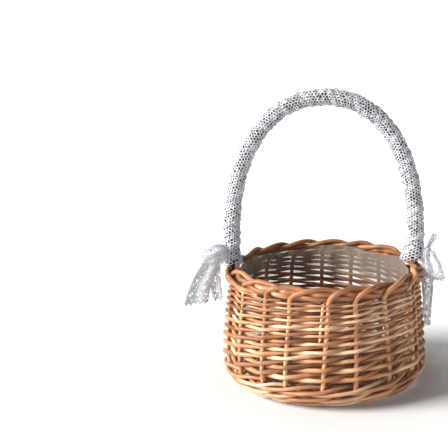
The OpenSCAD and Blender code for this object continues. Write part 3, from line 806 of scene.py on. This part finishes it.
def gathered(name, rows, across, fold, width, folds, seed, cell, openness, rests_on, *nodes):
    """A strip of lace, gathered where it is narrow and opening into its folds further down."""
    centre = smooth_path([row[0] for row in rows], 1.0)
    step = np.concatenate([[0], np.cumsum(np.linalg.norm(np.diff(centre, axis=0), axis=1))])
    length = step[-1]
    at = np.linspace(0, length, len(rows))
    half = [row[1] for row in rows]
    across, fold = unit(np.array(across, float)), unit(np.array(fold, float))
    drift, scallop = hash_wave(seed, 3, 0.01, 0.03), 1.6

    def place(u, v):
        s = v / (width / 2)
        wide = np.interp(u, at, half)
        deep = wide / (folds * math.pi) * np.interp(width / 2 / wide, FOLD_TABLE, FOLD_TABLE_Q)
        deep = np.minimum(deep, FOLD_DEPTH)
        hem = np.clip((u - length + 10) / 10, 0, 1.2)
        centre_at = np.stack([np.interp(u, step, centre[:, i]) for i in range(3)], -1)
        down = unit(centre[-1] - centre[-4])
        wave = np.sin(folds * math.pi * s + 1.4 * drift(u) + seed)
        side = wide * s * (1 + 0.05 * drift(u + 9))
        drop = hem * (scallop * np.abs(np.sin(math.pi * v / 7)) + 1.2 * drift(v + 3))
        return centre_at + side[:, None] * across + (deep * wave)[:, None] * fold + drop[:, None] * down

    solid = Solid()
    threads = lace(solid, length, width, cell, place, openness)
    piece = solid.build(name, white_lace, "white_lace", *nodes)
    return piece


def puff(name, centre, axis, long, radius, width, seed, cell, rests_on, *nodes):
    """A band of lace closed on itself into a soft puff, pinched at its two ends."""
    centre, axis = np.array(centre, float), unit(np.array(axis, float))
    first = unit(np.cross(axis, np.array([0.3, 1.0, 0.2])))
    second = np.cross(axis, first)
    around = 2 * math.pi * radius
    soft = hash_wave(seed, 4, 0.1, 0.4)

    def place(u, v):
        a = u / radius
        s = v / (width / 2)
        r = radius * np.sqrt(np.clip(1 - 0.86 * s * s, 0.02, 1))
        r = r * (1 + (0.05 + 0.07 * s * s) * np.cos(7 * a + 2 * s + seed)) + 0.35 * soft(v)
        ring = np.cos(a)[:, None] * first + np.sin(a)[:, None] * second
        return centre + (long * s)[:, None] * axis + r[:, None] * ring

    solid = Solid()
    threads = lace(solid, round(around / cell) * cell, width, around / round(around / cell) * 0.999, place,
                   lambda u, v: 0.56 + 0.2 * soft(u + v))
    piece = solid.build(name, white_lace, "white_lace", *nodes)
    return piece


def bows():
    """The two tied bows: a puff and two tails on the left, a loop and two tails on the right."""
    left = puff("lace_left_puff", (-107, -12, 132), (1, 0.25, 0.3), 12.5, 9.2, 25, 5, 2.3,
                ["lace_handle_wrap"], "left_knot")
    right = puff("lace_right_knot", (100.5, -6, 129), (1, 0.2, 0.5), 5.0, 4.6, 12, 6, 2.0,
                 ["lace_handle_wrap"], "right_knot")
    gathered("lace_left_front_tail",
             [((-108, -17, 134), 7.5), ((-114.5, -19, 119), 10), ((-121, -21, 104), 11.5),
              ((-127, -22, 85), 12.5)],
             (0.98, 0.17, 0), (-0.17, 0.98, 0), 27, 1.3, 3, 2.7, tail_motif(53, 27, 31), [left.name],
             "left_front_tail")
    gathered("lace_left_back_tail",
             [((-106, -14, 124), 5), ((-107, -17, 108), 6.3), ((-105, -19, 87), 6)],
             (0.98, 0.17, 0), (-0.17, 0.98, 0), 14, 1.1, 2, 2.7, tail_motif(38, 14, 32), [left.name],
             "left_back_tail")
    gathered("lace_right_loop",
             [((101, -6, 131), 2.6), ((104, -6.5, 138), 3.3), ((107.5, -7, 146), 3.5)],
             (0.9, 0, -0.45), (0, 1, 0), 10.5, 1, 1, 2.2, tail_motif(99, 10.5, 33), [right.name],
             "right_loop")
    gathered("lace_right_short_tail",
             [((103, -9, 131), 4.5), ((107.5, -12, 116), 7), ((110, -13.5, 102), 8.5)],
             (0.95, -0.3, 0), (0.3, 0.95, 0), 17, 1.2, 4, 2.6, tail_motif(30, 17, 34), [right.name],
             "right_short_tail")
    gathered("lace_right_long_tail",
             [((100, -9, 128), 5.5), ((100.5, -11, 105), 6), ((101, -12, 84), 4.6), ((99.5, -13, 58), 4.6)],
             (0.95, -0.3, 0), (0.3, 0.95, 0), 13, 1.2, 5, 2.5, tail_motif(70, 13, 35), [right.name],
             "right_long_tail")


def tail_motif(length, width, seed):
    """Openness of a tail: net above, a band of petals, and eyelets between two ribs at the hem."""
    rough = hash_wave(seed, 6, 0.05, 0.3)

    def openness(u, v):
        left = length - u
        ribs = 0.3 * np.cos(2 * math.pi * left / 5.2) * np.clip((16 - left) / 6, 0, 1)
        petals = 0.25 * np.cos(2 * math.pi * v / 9) * np.cos(2 * math.pi * left / 11)
        edge = np.clip((np.abs(v) - width / 2 + 3) / 2, 0, 1)
        return 0.34 + ribs + petals - 0.3 * edge + 0.1 * rough(u + 1.3 * v)

    return openness


# ---------------------------------------------------------------- film liner
LINER_IN, NECK_R, NECK_Z, LINER_TOP_Z = 7.0, 83.2, 104.0, 113.0
LINER_HEIGHTS = (8, 9.5, 12, 16, 24, 38, 56, 76, 94)


def film_liner():
    """A disc of film pushed down into the basket: flat on the base, pleated where it comes up the wall."""
    side = [wall_point(0.0, z, -LINER_IN) for z in LINER_HEIGHTS]
    neck = [np.array([NECK_R, 0, NECK_Z]), np.array([NECK_R, 0, LINER_TOP_Z])]
    profile = smooth_path([np.array([r, 0, side[0][2]]) for r in (2.0, 30.0, 52.0)] + side + neck, 2.2)
    columns = 240
    a = np.linspace(0, 2 * math.pi, columns, endpoint=False)
    rng = np.random.default_rng(91)
    pleats = [(rng.integers(2, 17), rng.uniform(0, 6.3), rng.uniform(-0.05, 0.05)) for _ in range(12)]
    high = np.clip((profile[:, 2] - 12) / 60, 0, 1)[:, None]
    wave = sum(np.sin(n * a[None] + start + slide * profile[:, 2:3]) for n, start, slide in pleats) / 3.2
    radius = profile[:, 0:1] - (0.4 + 3.4 * high) * (0.5 + 0.5 * np.tanh(1.6 * wave))
    lift = 1.6 * np.sin(5 * a + 1)[None] * np.clip((profile[:, 2:3] - 104) / 9, 0, 1)
    radius = np.maximum(radius, 0.5)
    points = np.stack([radius * np.cos(a), radius * np.sin(a), profile[:, 2:3] + lift - 0.6 + 0 * a], -1)
    rows = len(profile)
    middle = rows * columns
    points = by_hand(np.vstack([points.reshape(-1, 3), [0, 0, profile[0, 2] - 0.6]]))
    i, j = np.meshgrid(np.arange(rows - 1), np.arange(columns), indexing="ij")
    k = (j + 1) % columns
    faces = np.stack([i * columns + j, i * columns + k, (i + 1) * columns + k, (i + 1) * columns + j], -1)
    faces = faces.reshape(-1, 4).tolist() + [(middle, (j + 1) % columns, j) for j in range(columns)]
    solid = Solid()
    solid.add(points, faces, points.copy(), np.zeros_like(points))
    liner = solid.build("film_basket_liner", liner_film, "liner_film", "film_liner")
    return liner


for index in range(STAKES):
    stake(index)
    weaver(index)
for index in (1, 2, 3):
    wale_rod(index)
pierced_base_sticks()
through_base_sticks()
for index in (0, 1):
    base_weaver(index)
foot_rod()
bye_stake()
handle_core()
lace_wrap()
bows()
film_liner()

# ---------------------------------------------------------------- floor, light and camera
# The camera looks past AIM: AIM_RIGHT and AIM_DOWN say how far AIM is from the middle of its view, as slopes
AIM = Vector((0, 0, 0.130))
CAMERA_AWAY, CAMERA_AZIMUTH, CAMERA_ELEVATION = 1.0, -5.0, 13.5
LENS, SENSOR_WIDTH = 80.92, 36.0
AIM_RIGHT, AIM_DOWN = 0.09881, 0.02721
FLOOR_PROFILE = [(0.01, 0), (1, 0), (4, 0), (5, 0.08), (6, 0.32), (7, 0.75), (8, 1.4)]
FLOOR_GLOW, NEAR_GLOW, FAR_GLOW = 0.06, 0.3, 0.5


def floor():
    """A pale floor that curves up into the backdrop far away, and shines more with the distance."""
    s = Shader("floor")
    place = s.node("ShaderNodeTexCoord").outputs["Object"]
    away = s.node("ShaderNodeVectorMath", {"operation": "LENGTH"}, i0=place).outputs["Value"]
    near, far = s.between(away, 0.1, 0.3), s.between(away, 0.5, 2.5)
    tint = s.mix(s.noise(place, 1.5, 2.0), (0.72, 0.72, 0.72), (0.75, 0.75, 0.75))
    glow = s.math("ADD", s.math("MULTIPLY", near, NEAR_GLOW), s.math("MULTIPLY", far, FAR_GLOW))
    glow = s.math("ADD", glow, FLOOR_GLOW)
    steps = 96
    a = np.linspace(0, 2 * math.pi, steps, endpoint=False)
    rings = [np.stack([r * np.cos(a), r * np.sin(a), z + 0 * a], 1) for r, z in FLOOR_PROFILE]
    points = np.concatenate(rings)
    faces = [
        (i * steps + j, i * steps + (j + 1) % steps, (i + 1) * steps + (j + 1) % steps, (i + 1) * steps + j)
        for i in range(len(FLOOR_PROFILE) - 1) for j in range(steps)
    ] + [tuple(range(steps - 1, -1, -1))]
    mesh = bpy.data.meshes.new("floor")
    mesh.from_pydata(points.tolist(), [], faces)
    mesh.polygons.foreach_set("use_smooth", np.ones(len(faces), bool))
    mesh.materials.append(s.finish_with(Base_Color=tint, Roughness=0.9, Emission_Color=(1, 1, 1, 1),
                                        Emission_Strength=glow))
    sheet = bpy.data.objects.new("floor", mesh)
    bpy.context.scene.collection.objects.link(sheet)


def direction(azimuth, elevation):
    """Unit vector towards a place seen at azimuth, from the front round to the right, and elevation."""
    a, e = math.radians(azimuth), math.radians(elevation)
    return Vector((math.sin(a) * math.cos(e), -math.cos(a) * math.cos(e), math.sin(e)))


def sun(name, azimuth, elevation, strength, colour, spread):
    data = bpy.data.lights.new(name, "SUN")
    data.energy, data.color, data.angle = strength, colour, math.radians(spread)
    light = bpy.data.objects.new(name, data)
    light.rotation_mode = "QUATERNION"
    light.rotation_quaternion = direction(azimuth, elevation).to_track_quat("Z", "Y")
    bpy.context.scene.collection.objects.link(light)


def camera():
    data = bpy.data.cameras.new("camera")
    data.sensor_width = SENSOR_WIDTH
    data.lens = LENS
    cam = bpy.data.objects.new("camera", data)
    back = direction(CAMERA_AZIMUTH, CAMERA_ELEVATION)
    cam.location = AIM + back * CAMERA_AWAY
    seen = Vector((AIM_RIGHT, -AIM_DOWN, -1))
    aside = seen.normalized().rotation_difference(Vector((0, 0, -1)))
    cam.rotation_mode = "QUATERNION"
    cam.rotation_quaternion = (-back).to_track_quat("-Z", "Y") @ aside
    bpy.context.scene.collection.objects.link(cam)
    bpy.context.scene.camera = cam


def studio():
    """Soft light from the left and only a little from the right."""
    world = bpy.data.worlds.new("studio")
    world.use_nodes = True
    sky = world.node_tree
    away = sky.nodes.new("ShaderNodeTexCoord")
    side = sky.nodes.new("ShaderNodeSeparateXYZ")
    soft = sky.nodes.new("ShaderNodeMapRange")
    sky.links.new(away.outputs["Generated"], side.inputs[0])
    sky.links.new(side.outputs["X"], soft.inputs["Value"])
    for name, value in {"From Min": 0.1, "From Max": -0.9, "To Min": 0.04, "To Max": 0.55}.items():
        soft.inputs[name].default_value = value
    sky.links.new(soft.outputs[0], sky.nodes["Background"].inputs["Strength"])
    sky.nodes["Background"].inputs["Color"].default_value = (0.95, 0.97, 1.0, 1)
    bpy.context.scene.world = world


floor()
sun("key", -76, 27, 6.8, (1.0, 0.985, 0.96), 30)
studio()
bpy.context.scene.view_settings.view_transform = "Standard"
camera()

bpy.context.view_layer.update()
